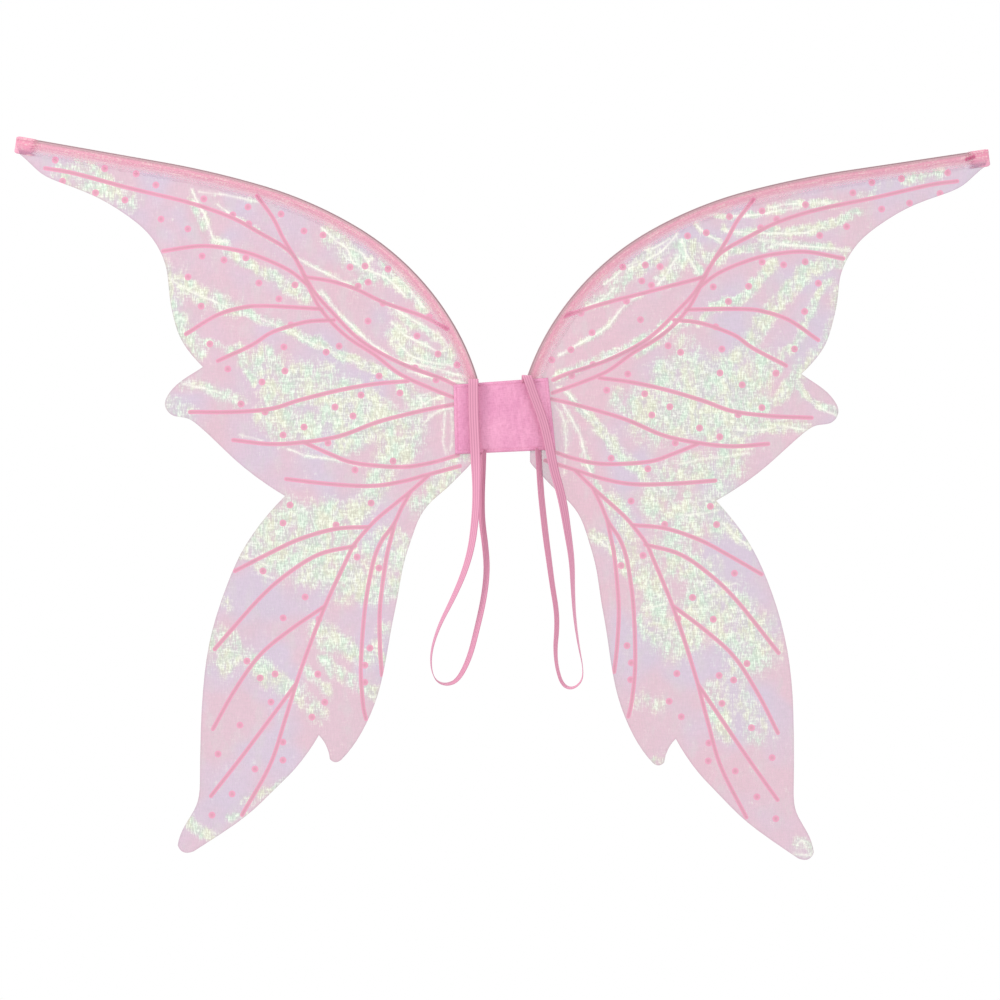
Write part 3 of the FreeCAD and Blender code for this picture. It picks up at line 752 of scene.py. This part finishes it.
def make_strap(side):
    """Flat ribbed elastic that follows its route, turned about its own line."""
    name = side + "_arm_loop"
    route = np.array(STRAP_ROUTES[side]) * MM
    line, along = even_steps(route_points(name, route), STRAP_STEP)
    shares, degrees = np.transpose(STRAP_TWISTS[side])
    turns = np.interp(along / along[-1], shares, degrees)
    kernel = np.hanning(2 * TWIST_REACH + 1)
    turns = np.radians(np.convolve(np.pad(turns, TWIST_REACH, "edge"), kernel / kernel.sum(), "valid"))

    section = []
    for across in np.linspace(-1, 1, 4 * STRAP_RIBS + 1):
        rib = abs(math.sin(STRAP_RIBS * math.pi * (across + 1) / 2))
        end = 0.35 if abs(across) == 1 else 1.0
        section.append((across, end * STRAP_THICKNESS / 2 * (0.62 + 0.38 * rib)))
    ring = section + [(across, -lift) for across, lift in reversed(section)]

    vertices = []
    flat = np.array([1.0, 0.0, 0.0])
    for place, tangent, turn in zip(line, unit(np.gradient(line, axis=0)), turns):
        flat = unit(flat - tangent * (flat @ tangent))
        wide = flat * math.cos(turn) + np.cross(tangent, flat) * math.sin(turn)
        thick = np.cross(tangent, wide)
        vertices += [place + wide * across * STRAP_WIDTH / 2 + thick * lift for across, lift in ring]
    strap = mesh_object(name, vertices, tube_faces(len(line), len(ring)), "elastic")
    point_attributes(strap, across=[across for across, _ in ring] * len(line),
                     along=np.repeat(along, len(ring)))
    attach(strap, "panel")
    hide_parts(side + "_strap")


# === wings
def leading_path(side, step):
    """Wire line of a wing from behind the panel to the tip: places, headings and distance, in mm."""
    places, headings = [], []
    heading = DROOP[side]
    point = np.array([HINGE_U, HINGE_TOP])
    for index, (radius, turn) in enumerate([LEAN_BEND] + LEADING_ARCS):
        centre = point + inward_vector(heading) * radius
        if index > 0:
            count = max(1, int(radius * math.radians(turn) / step))
            for now in heading + turn * np.arange(count) / count:
                places.append(centre - inward_vector(now) * radius)
                headings.append(now)
        heading += turn
        point = centre - inward_vector(heading) * radius
    count = int(LEADING_STRAIGHT / step)
    for k in range(count + 1):
        places.append(point + heading_vector(heading) * LEADING_STRAIGHT * k / count)
        headings.append(heading)
    back = heading_vector(headings[0]) * step
    tucked = [places[0] - back * k for k in range(int(HEM_TUCK / step), 0, -1)]
    places = np.array(tucked + places)
    headings = np.array([headings[0]] * len(tucked) + headings)
    return places, headings, travelled_along(places)


def pull_tip(side, places):
    """Row-frame places with the wing's tip pulled out along its wire."""
    places = np.array(places, float)
    share = TIP_STRETCH[side] * smoothstep(*TIP_RANGE, np.abs(places[:, 0]))
    return places + np.outer(share, TIP_DIRECTION) * (SIDES[side], 1)


def cloth_outline(side, path):
    """The CAD sheet's outline, carried on over the hem's band and out to the pulled tip."""
    outline = cad_outline(side + "_membrane")
    wire = path[0] * (SIDES[side], 1)
    for index, place in enumerate(outline):
        gaps = np.linalg.norm(wire - place, axis=1)
        nearest = int(np.argmin(gaps))
        if gaps[nearest] < CLOTH_CUT:
            inward = inward_vector(path[1][nearest]) * (SIDES[side], 1)
            reached = place - inward * CLOTH_UNDER_HEM
            reached[0] = SIDES[side] * max(abs(reached[0]), CLOTH_START + 0.02 * gaps[0])
            outline[index] = reached
    return pull_tip(side, outline)


def cad_outline(node):
    """Ordered outline, in mm, of a flat CAD sheet's front face."""
    mesh = frame["nodes"][node].data
    front = min(v.co.y for v in mesh.vertices)
    places = [(round(v.co.x / MM, 3), round(v.co.z / MM, 3)) for v in mesh.vertices]
    edges = {}
    for polygon in mesh.polygons:
        if all(abs(mesh.vertices[i].co.y - front) < 1e-6 for i in polygon.vertices):
            ring = [places[i] for i in polygon.vertices]
            edges.update(dict.fromkeys(zip(ring, ring[1:] + ring[:1])))
    onward = {a: b for a, b in edges if (b, a) not in edges}
    outline = [min(onward)]
    while onward[outline[-1]] != outline[0]:
        outline.append(onward[outline[-1]])
    return np.array(outline)


def crease_lines(side):
    """Smoothed, slightly wandering crease lines of a wing, each with its strength."""
    lines = []
    for number, (strength, *places) in enumerate(CREASES[side]):
        line = curve_through(places, 2.5)
        wander = [(0.7 * wave(a / 7, b / 7, number), 0.7 * wave(b / 7, a / 7, number)) for a, b in line]
        lines.append((strength, line + np.array(wander)))
    return lines


def fold_field(side, x, z, creases):
    """Painted glint and painted crease highlight line, 0 to 1, and height in mm that a wing's folds give to
    each place.
    """
    glint, crease_line, height = np.zeros((3, len(x)))
    bent = np.stack([v + 3.5 * noise_at(x, z, 17, 22, seed) + 1.5 * noise_at(x, z, 6, 9, seed + 2)
                     for v, seed in ((x, 3), (z, 4))], axis=1)
    exact = np.stack([v + 0.25 * noise_at(x, z, 3.5, 3.5, seed) for v, seed in ((x, 9), (z, 10))], axis=1)
    reach = np.clip(0.85 + 0.7 * noise_at(x, z, 14, 14, 8), 0.5, 1)
    for number, (width, strength, *places) in enumerate(BANDS[side]):
        gap = line_distance(bent, curve_through(places, 6.0), width * 2)
        bell = smoothstep(width * 2.0, width * 0.25, gap)
        glint = np.maximum(glint, bell * strength)
        if width <= NARROW_BAND:
            height += (1 if number % 2 else -1) * 0.9 * bell
    for number, (strength, line) in enumerate(creases):
        gap = line_distance(exact, line, 8)
        crease_line = np.maximum(crease_line, smoothstep(2.0, 0.1, gap) * strength * reach)
        glint = np.maximum(glint, 0.75 * strength * smoothstep(5.5, 0.5, gap) * reach)
        ridge = 0.9 * smoothstep(4.5, 0, gap) + 0.5 * smoothstep(1.8, 0, gap)
        height += (1 if number % 2 else -1) * ridge * strength
    glint *= np.clip(0.86 + 0.50 * noise_at(x, z, 8, 15, 18) + 0.25 * noise_at(x, z, 3.5, 9, 19), 0.25, 1.1)
    return glint, crease_line, height


def wing_height(side, x, z, glint, fold_height, edge_gap, hem_gap):
    """How far the cloth stands off its flat plane, in mm, towards the back."""
    root_x = x - SIDES[side] * HINGE_U
    radius = np.hypot(root_x, z)
    bearing = np.arctan2(z, np.abs(root_x))
    radial = noise_at(bearing * 100, radius, 9, 170, 11 if side == "left" else 12)
    broad = noise_at(x, z, 85, 110, 13)
    medium = noise_at(x, z, 26, 34, 14)
    fine = noise_at(x, z, 8, 12, 15)
    tiny = noise_at(x, z, 4.2, 6.5, 16)
    flutter = smoothstep(60, 0, edge_gap) * noise_at(x, z, 42, 42, 17)
    height = 1.5 * radial * smoothstep(0, 120, radius) + 2.6 * broad + 0.9 * medium
    height += (0.12 + 0.5 * glint) * fine + (0.03 + 0.22 * glint) * tiny + 2.2 * flutter + fold_height
    held = smoothstep(0, 26, hem_gap) * smoothstep(0, 34, np.abs(root_x) - 3)
    return height * held - 0.7 * smoothstep(3, 0, hem_gap)


def scattered_grid(side, outline):
    """Slightly random grid of places inside a wing's outline."""
    rng = np.random.default_rng(GRID_SEED[side])
    low, high = outline.min(0), outline.max(0)
    columns = np.arange(low[0], high[0], GRID_STEP)
    rows = np.arange(low[1], high[1], GRID_STEP * 0.87)
    grid = np.array([(c + (GRID_STEP / 2 if i % 2 else 0), r) for i, r in enumerate(rows) for c in columns])
    grid += rng.uniform(-0.25, 0.25, grid.shape)
    grid = grid[inside_outline(grid, outline)]
    return grid[line_distance(grid, np.vstack([outline, outline[:1]]), 3) > 1.0]


def cut_sheet(side, outline, veins, dots, creases):
    """Flat triangle mesh of the outline, with veins, dots and crease lines cut in as edges."""
    grid = scattered_grid(side, outline)
    crease_gap = lines_distance(grid, creases, 5) + VEIN_WIDTH / 2 - 1.4
    print_gap = np.minimum(crease_gap, lines_distance(grid, veins, 5))
    for dot in dots:
        print_gap = np.minimum(print_gap, np.abs(np.linalg.norm(grid - dot, axis=1) - DOT_RADIUS) + 1.2)
    grid = grid[print_gap > VEIN_WIDTH / 2 + 0.7]
    points, edges = [], []

    def add_chain(chain, closed=False):
        first, last = len(points), len(points) + len(chain) - 1
        points.extend(chain)
        edges.extend((k, k + 1) for k in range(first, last))
        if closed:
            edges.append((last, first))

    fine_outline = []
    for a, b in zip(outline, np.roll(outline, -1, axis=0)):
        count = max(1, int(np.linalg.norm(b - a) / 2.2))
        fine_outline.extend(a + (b - a) * k / count for k in range(count))
    add_chain(fine_outline, closed=True)
    cap = np.linspace(0, math.pi, 7)[1:-1]
    for line in veins:
        ahead, aside = (way * VEIN_WIDTH / 2 for way in line_ways(line))
        end_cap = [line[-1] + aside[-1] * math.cos(t) + ahead[-1] * math.sin(t) for t in cap]
        start_cap = [line[0] - aside[0] * math.cos(t) - ahead[0] * math.sin(t) for t in cap]
        add_chain([*(line + aside), *end_cap, *(line - aside)[::-1], *start_cap], closed=True)
        add_chain(line)
    for line in creases:
        for offset in (-1.5, 0, 1.5):
            add_chain(line + line_ways(line)[1] * offset)
    angles = np.arange(16) * 2 * math.pi / 16
    for dot in dots:
        add_chain(dot + DOT_RADIUS * np.stack([np.cos(angles), np.sin(angles)], axis=1), closed=True)
        points.append(dot)
    points.extend(grid)

    result = delaunay_2d_cdt([Vector(p) for p in points], edges, [], 0, 1e-4)
    flat = np.array([p[:] for p in result[0]])
    faces = np.array([f for f in result[2] if len(f) == 3])
    faces = faces[inside_outline(flat[faces].mean(1), outline)]
    used, renumbered = np.unique(faces, return_inverse=True)
    return flat[used], renumbered.reshape(-1, 3)


def line_ways(line):
    """Unit ways ahead and aside at each point of a 2-D line."""
    ahead = unit(np.gradient(line, axis=0))
    return ahead, np.stack([-ahead[:, 1], ahead[:, 0]], axis=1)


def make_membrane(side, outline, path):
    """One wing's organza: a flat sheet with its print and creases, then folded."""
    patterns = {**VEINS, **RIGHT_VEINS} if side == "right" else VEINS
    veins = [pull_tip(side, curve_through(place_print(side, points), 4.0)) for points in patterns.values()]
    dots = pull_tip(side, place_print(side, DOTS))
    creases = crease_lines(side)
    flat, faces = cut_sheet(side, outline, veins, dots, [line for _, line in creases])

    def ink_share(points, dot_radius):
        """Distance from the print's middle as a share of its half width."""
        from_dots = np.min([np.linalg.norm(points - dot, axis=1) for dot in dots], axis=0)
        return np.minimum(lines_distance(points, veins, 5) / (VEIN_WIDTH / 2), from_dots / dot_radius)

    x, z = flat.T
    glint, crease, fold_height = fold_field(side, x, z, creases)
    hem_gap = line_distance(flat, path[0] * (SIDES[side], 1), 45) - HEM_COVERS
    edge_gap = line_distance(flat, np.vstack([outline, outline[:1]]), 70)
    height = wing_height(side, x, z, glint, fold_height, edge_gap, hem_gap)
    pink = smoothstep(130, 25, np.abs(x) - HINGE_U) + 0.6 * smoothstep(-300, -380, z)
    pink += 0.45 * smoothstep(26, 2, lines_distance(flat, veins, 30)) * smoothstep(-60, 120, z)
    pink = np.clip(pink + 0.9 * noise_at(x, z, 46, 60, 21), 0, 1)

    vertices = np.stack([x, HINGE_Y + height, z], axis=1) * MM
    wing = mesh_object(side + "_wing_cloth", vertices, faces, "organza", "ink")
    inked = ink_share(flat[faces].mean(1), DOT_RADIUS * 0.99) < 1.0
    wing.data.polygons.foreach_set("material_index", inked.astype(np.int32))
    edge = smoothstep(1.6, 0.2, edge_gap) * smoothstep(-1, 2, hem_gap)
    # The glint and crease attributes carry the painted glints and the painted crease highlights.
    point_attributes(wing, glint=glint, pink=pink, ink=np.clip(ink_share(flat, DOT_RADIUS), 0, 1),
                     crease=crease, edge=edge, under_hem=smoothstep(1.5, -5, hem_gap))
    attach(wing, side + "_wing")
    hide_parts(side + "_membrane")
    return wing


def hem_section(far, roll, band):
    """Cross-section of the hem: (distance inwards, half thickness) from its outer to its inner edge."""
    section = []
    for angle in np.radians(np.linspace(180, 35, 9)):
        section.append((roll * math.cos(angle), max(roll * math.sin(angle), 0.08)))
    for across in np.linspace(roll + 0.6, far, 12):
        section.append((across, band if across < far - 0.3 else band * 0.5))
    return section


def sweep_hem(name, side, path, span, section, wrinkle, seed, material):
    """Closed flat tube of cloth along part of the leading edge."""
    places, headings, travelled = path
    chosen = np.where((travelled >= span[0]) & (travelled <= span[1]))[0]
    ring = [(across, -lift) for across, lift in section] + section[::-1]
    vertices = []
    for k in chosen:
        so_far = travelled[k]
        to_end = max(0.0, 1 - (span[1] - so_far) / 5) if span[1] > travelled[-1] else 0.0
        narrowing = 1 - 0.30 * to_end ** 3
        ragged = 0.5 * wave(so_far / 9, seed, 0)
        for across, lift in ring:
            reach = smoothstep(2.0, 12.0, across)
            spread = 6.0 + (across + ragged * reach - 6.0) * narrowing
            flat = places[k] + inward_vector(headings[k]) * spread
            fold = wave(so_far / 46, across / 2.6, seed)
            small = wave(so_far / 9, across / 2.2, seed + 5)
            gather = wave(so_far / 5.5, across / 7, seed + 9)
            swell = wrinkle * (0.75 * fold + 0.3 * small + 0.3 * gather) * (0.25 + reach)
            vertices.append((SIDES[side] * flat[0], HINGE_Y + lift + swell + 0.35 * reach, flat[1]))
    faces = tube_faces(len(chosen), len(ring))
    if side == "left":
        faces = [tuple(reversed(face)) for face in faces]
    vertices = np.array(vertices)
    vertices[:, ::2] = pull_tip(side, vertices[:, ::2])
    hem = mesh_object(name, vertices * MM, faces, material)
    fade = np.repeat((travelled[chosen] - span[0]) / 16, len(ring))
    point_attributes(hem, along=np.repeat(travelled[chosen] * MM, len(ring)), fade=np.clip(fade, 0, 1),
                     across=[across * MM for across, _ in ring] * len(chosen))
    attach(hem, side + "_wing")
    return hem


def stitch_row(name, places, directions, length, radius, material):
    """A row of stitches: one small rounded thread, in mm, at each place in mm and along its direction."""
    vertices, faces = [], []
    shares = (-0.5, -0.36, 0.0, 0.36, 0.5)
    for place, direction in zip(places, directions):
        direction = unit(np.array(direction, float))
        across = unit(np.cross(direction, (0.0, 1.0, 0.0)))
        up = np.cross(across, direction)
        first = len(vertices)
        faces += [tuple(first + k for k in face) for face in tube_faces(len(shares), STITCH_SIDES)]
        for share in shares:
            thick = radius * (0.35 if abs(share) == 0.5 else 1.0)
            sunk = np.array([0.0, 0.9 * radius * (2 * abs(share)) ** 3, 0.0])
            for k in range(STITCH_SIDES):
                angle = 2 * math.pi * k / STITCH_SIDES
                outward = across * math.cos(angle) + up * math.sin(angle)
                vertices.append((place + direction * share * length + outward * thick + sunk) * MM)
    return mesh_object(name, vertices, faces, material)


def hem_spot(side, path, distance, inset, proud):
    """Place in mm on the front of a wing's hem, and the way along the hem there."""
    places, headings, travelled = path
    k = int(np.argmin(np.abs(travelled - distance)))
    x, z = (places[k] + inward_vector(headings[k]) * inset) * (SIDES[side], 1)
    along = heading_vector(headings[k]) * (SIDES[side], 1)
    return np.array([x, HINGE_Y - HEM_BAND - proud, z]), (along[0], 0, along[1])


def make_hem_stitches(side, path):
    """Running stitch that closes the hem, a little outside its inner edge."""
    distances = np.arange(HEM_TUCK + 4, path[2][-1] - PATCH_LENGTH, HEM_STITCH_PITCH)
    spots = [hem_spot(side, path, distance, HEM_STITCH_INSET, 0.32) for distance in distances]
    row = stitch_row(side + "_hem_stitches", *zip(*spots), 2.7, 0.16, "thread")
    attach(row, side + "_wing")
    return row


def make_tip_bartack(path):
    """Dense little bar of dark stitches across the right wing's tip cover."""
    start = path[2][-1] - 24.0
    spots = [hem_spot("right", path, start + 0.8 * k, 5.6 - 0.16 * k, 0.75) for k in range(BARTACK_STITCHES)]
    places = [place for place, _ in spots]
    row = stitch_row("right_tip_bartack", places, zigzag(0.3), 3.4, 0.3, "dark_thread")
    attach(row, "right_wing")
    return row


def zigzag(lean):
    """Directions of a bartack's stitches, upright and leaning to one side and the other."""
    return [(lean if k % 2 else -lean, 0, 1) for k in range(BARTACK_STITCHES)]


def make_wing(side):
    path = leading_path(side, HEM_STEP)
    end = path[2][-1]
    cloth = make_membrane(side, cloth_outline(side, path), path)
    hem = sweep_hem(side + "_hem", side, path, (0, end - 4), hem_section(HEM_WIDTH, HEM_ROLL, HEM_BAND),
                    0.35, HEM_SEED[side], "hem")
    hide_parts(side + "_edge_casing")
    patch = sweep_hem(side + "_tip_cover", side, path, (end - PATCH_LENGTH, end + 1),
                      hem_section(HEM_WIDTH + 0.3, HEM_ROLL + 0.4, HEM_BAND + 0.35),
                      0.25, HEM_SEED[side] + 2, "patch")
    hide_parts(side + "_tip_patch")
    sewn_on = [hem, patch, make_hem_stitches(side, path)]
    if side == "right":
        sewn_on.append(make_tip_bartack(path))


# === back panel
def panel_corners():
    """Corners of the front cover as (x, z) in mm: top left, top right, bottom right, bottom left."""
    vertices = frame["nodes"]["front_cover"].data.vertices
    places = {(round(v.co.x / MM, 2), round(v.co.z / MM, 2)) for v in vertices}
    top = sorted(p for p in places if p[1] > 0)
    bottom = sorted(p for p in places if p[1] <= 0)
    return [np.array(p) for p in (top[0], top[-1], bottom[-1], bottom[0])]


def panel_place(corners, a, b):
    """Place on the panel for a across from left to right and b down from top to bottom, both 0 to 1."""
    top = corners[0] + (corners[1] - corners[0]) * a
    bottom = corners[3] + (corners[2] - corners[3]) * a
    return top + (bottom - top) * b


def cushion_mesh(name, corners, a_range, size, front, back):
    """Closed pad between two surfaces. Each gives Y in mm from x, z, the distance to the nearest
    edge and the distance to the top or bottom edge."""
    columns, rows = size
    vertices, rims = [], []
    for surface in (front, back):
        for b in np.linspace(0, 1, rows):
            for a in a_range[0] + (a_range[1] - a_range[0]) * np.linspace(0, 1, columns):
                x, z = panel_place(corners, a, b)
                level_gap = min(b, 1 - b) * PANEL_HEIGHT
                gap = min(min(a, 1 - a) * PANEL_WIDTH, level_gap)
                vertices.append((x, surface(x, z, gap, level_gap), z))
                rims.append(1 - min(gap / 4.0, 1))
    count = rows * columns
    faces = grid_faces(rows, columns)
    faces += [tuple(count + k for k in reversed(face)) for face in faces]
    grid = np.arange(count).reshape(rows, columns)
    border = [*grid[0], *grid[1:, -1], *grid[-1, -2::-1], *grid[-2:0:-1, 0]]
    faces += [(m, k, count + k, count + m) for k, m in zip(border, border[1:] + border[:1])]
    pad = mesh_object(name, np.array(vertices) * MM, faces, "satin")
    point_attributes(pad, rim=rims)
    return pad


def pad_relief(gap, crown, reach, rim, seam):
    """How far a padded face stands out: its crown, less the rolled rim and the sewn line."""
    rolled = rim * (1 - smoothstep(0, 2.2, gap))
    return crown * smoothstep(2, reach, gap) - rolled - seam * math.exp(-((gap - SEAM_INSET) / 0.9) ** 2)


def turned_rim(x, level_gap):
    """How far the top and bottom rims turn in, in mm, to close the panel between its side parts."""
    return 1.4 * (1 - smoothstep(19, 22, abs(x))) * (1 - smoothstep(0.5, 3.0, level_gap))


def front_surface(x, z, gap, level_gap):
    """Wearer side of the panel, with soft upright creases."""
    relief = 0.22 * wave(x / 5, z / 13, 1) + 0.1 * wave(x / 2.4, z / 6, 2)
    for centre, lean, depth, width in PANEL_CREASES:
        line = centre - lean * z + 2.0 * wave(centre, z / 22, 3)
        relief += depth * math.exp(-((x - line) / width) ** 2) * (0.6 + 0.4 * wave(0, z / 14, centre))
    return -0.1 - pad_relief(gap, 1.1, 22, 1.25, 0.55) + relief * smoothstep(1, 5, gap)


def front_inside(x, z, gap, level_gap):
    """Hidden side of the front pad."""
    return 1.6 + turned_rim(x, level_gap)


def back_surface(x, z, gap, level_gap):
    """Outer side of the back cover, with its middle line."""
    ripple = 0.18 * wave(x / 6, z / 12, 7) + 0.08 * wave(x / 2.6, z / 6, 8)
    return 5.1 + pad_relief(gap, 0.55, 20, 1.2, 0.4) - 0.5 * math.exp(-x ** 2) + ripple * smoothstep(1, 5, gap)


def back_inside(x, z, gap, level_gap):
    """Inner side of the back cover: on the board in the middle, on the wing's cloth at the sides."""
    return 4.62 - 1.15 * smoothstep(22.5, 27.5, abs(x)) - turned_rim(x, level_gap)


def border_stitches(name, corners, a_range, surface, proud, edges):
    """Stitches along the panel's edges, on its sewn line."""
    left, right = max(a_range[0], SEAM_INSET / PANEL_WIDTH), min(a_range[1], 1 - SEAM_INSET / PANEL_WIDTH)
    top, bottom = SEAM_INSET / PANEL_HEIGHT, 1 - SEAM_INSET / PANEL_HEIGHT
    runs = {"top": ((left, top), (right, top)), "bottom": ((left, bottom), (right, bottom)),
            "left": ((left, top), (left, bottom)), "right": ((right, top), (right, bottom))}
    places, directions = [], []
    for edge in edges:
        start, end = (panel_place(corners, *ends) for ends in runs[edge])
        length = np.linalg.norm(end - start)
        direction = (end - start) / length
        for distance in np.arange(SEAM_PITCH, length - SEAM_PITCH / 2, SEAM_PITCH):
            x, z = start + direction * distance
            places.append(np.array([x, surface(x, z, SEAM_INSET, PANEL_HEIGHT / 2) + proud, z]))
            directions.append((direction[0], 0, direction[1]))
    row = stitch_row(name, places, directions, 2.3, 0.17, "thread")
    return row


def make_panel():
    corners = panel_corners()
    front = cushion_mesh("panel_front", corners, (0, 1), (118, 88), front_surface, front_inside)
    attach(front, "panel")
    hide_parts("front_cover", "felt_pad")
    row = border_stitches("panel_front_stitches", corners, (0, 1), front_surface, -0.12,
                          ("top", "bottom", "left", "right"))
    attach(row, "panel")

    split = -corners[0][0] / (corners[1][0] - corners[0][0])
    for side, a_range in (("left", (0, split)), ("right", (split, 1))):
        half = cushion_mesh("panel_back_" + side, corners, a_range, (64, 80), back_inside, back_surface)
        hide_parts(*(["back_cover"] if side == "left" else []), side + "_back_flap")
        row = border_stitches("panel_back_stitches_" + side, corners, a_range, back_surface, 0.02,
                              ("top", "bottom", side))
        for piece in (half, row):
            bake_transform(piece)


def make_bartacks():
    """Dense bars of stitches where the arm loops are sewn to the panel's top seam."""
    places = []
    for route in STRAP_ROUTES.values():
        x, _, z = route[1]
        places += [np.array([x + (k - 6) * 0.72, -1.05, z - 5.4]) for k in range(BARTACK_STITCHES)]
    row = stitch_row("strap_bartacks", places, zigzag(0.25) * 2, 2.4, 0.19, "thread")
    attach(row, "panel")


def finish_cad_nodes():
    """Procedural finishes for the CAD parts that keep their own shape."""
    finishes = {"stiffener_board": "board"}
    for side in SIDES:
        finishes[side + "_pivot_channel"] = "channel"
        finishes[side + "_frame_wire"] = "steel"
        finishes[side + "_wire_tip_cap"] = "cap"
        finishes[side + "_wire_root_cap"] = "cap"
    for node, finish in finishes.items():
        obj = frame["nodes"][node]
        if not obj.material_slots:
            obj.data.materials.append(MATERIALS[finish])
        for material_slot in obj.material_slots:
            material_slot.material = MATERIALS[finish]


MATERIALS = {
    "organza": organza("iridescent_organza", inked=False),
    "ink": organza("printed_organza", inked=True),
    "hem": hem_cloth("hem_organza", (226, 160, 180), (222, 166, 188), wire_line=True),
    "patch": hem_cloth("tip_cloth", (228, 146, 172), (228, 158, 184), wire_line=False),
    "satin": satin("panel_satin"),
    "elastic": elastic("elastic_web"),
    "thread": thread("pink_thread", (228, 140, 176), (242, 172, 200)),
    "dark_thread": thread("magenta_thread", (188, 70, 120), (222, 112, 156)),
    "steel": spring_steel("drawn_spring_steel"),
    "board": moulded_plastic("board_plastic", (226, 226, 224), (238, 238, 236), 0.5),
    "channel": moulded_plastic("channel_plastic", (232, 214, 224), (240, 226, 234), 0.4),
    "cap": moulded_plastic("cap_plastic", (214, 112, 150), (226, 130, 166), 0.35),
    "floor": floor_paint("pale_floor"),
}

make_camera()
for strap_side in SIDES:
    make_strap(strap_side)
make_studio()
for wing_side in SIDES:
    make_wing(wing_side)
make_panel()
make_bartacks()
finish_cad_nodes()
